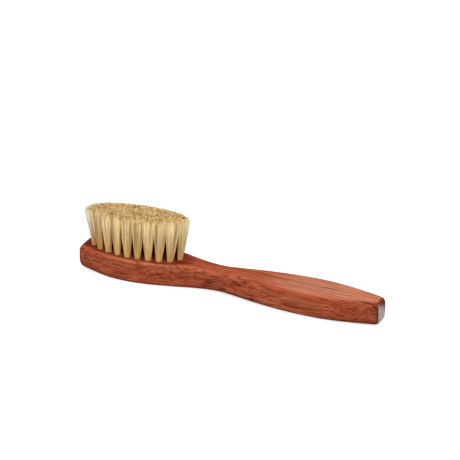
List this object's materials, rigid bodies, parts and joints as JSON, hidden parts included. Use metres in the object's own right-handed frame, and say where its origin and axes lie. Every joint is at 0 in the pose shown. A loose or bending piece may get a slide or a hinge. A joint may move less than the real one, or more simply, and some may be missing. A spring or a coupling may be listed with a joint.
{
  "type": "shoe polish applicator brush",
  "caption": "Slim applicator brush with a one-piece wooden handle and a small oval head of staple-set natural bristle tufts, trimmed to a sloping face.",
  "frame": {"origin": "on the flat back that the brush lies on, under the middle of its length", "axes": "+X from the toe to the tail, +Y across the block, +Z out of the face that holds the bristles"},
  "size_m": [0.17, 0.0268, 0.0364],
  "materials": {
    "red_hardwood": "waxed",
    "pale_bristle": "matte"
  },
  "bodies": {
    "root": {"handle_block": "red_hardwood", "tuft_inner_01": "pale_bristle", "tuft_inner_02": "pale_bristle", "tuft_inner_03": "pale_bristle", "tuft_inner_04": "pale_bristle", "tuft_inner_05": "pale_bristle", "tuft_inner_06": "pale_bristle", "tuft_inner_07": "pale_bristle", "tuft_inner_08": "pale_bristle", "tuft_inner_09": "pale_bristle", "tuft_inner_10": "pale_bristle", "tuft_inner_11": "pale_bristle", "tuft_inner_12": "pale_bristle", "tuft_inner_13": "pale_bristle", "tuft_inner_14": "pale_bristle", "tuft_outer_01": "pale_bristle", "tuft_outer_02": "pale_bristle", "tuft_outer_03": "pale_bristle", "tuft_outer_04": "pale_bristle", "tuft_outer_05": "pale_bristle", "tuft_outer_06": "pale_bristle", "tuft_outer_07": "pale_bristle", "tuft_outer_08": "pale_bristle", "tuft_outer_09": "pale_bristle", "tuft_outer_10": "pale_bristle", "tuft_outer_11": "pale_bristle", "tuft_outer_12": "pale_bristle", "tuft_outer_13": "pale_bristle", "tuft_outer_14": "pale_bristle", "tuft_outer_15": "pale_bristle", "tuft_outer_16": "pale_bristle", "tuft_outer_17": "pale_bristle", "tuft_outer_18": "pale_bristle", "tuft_outer_19": "pale_bristle"}
  },
  "joints": []
}
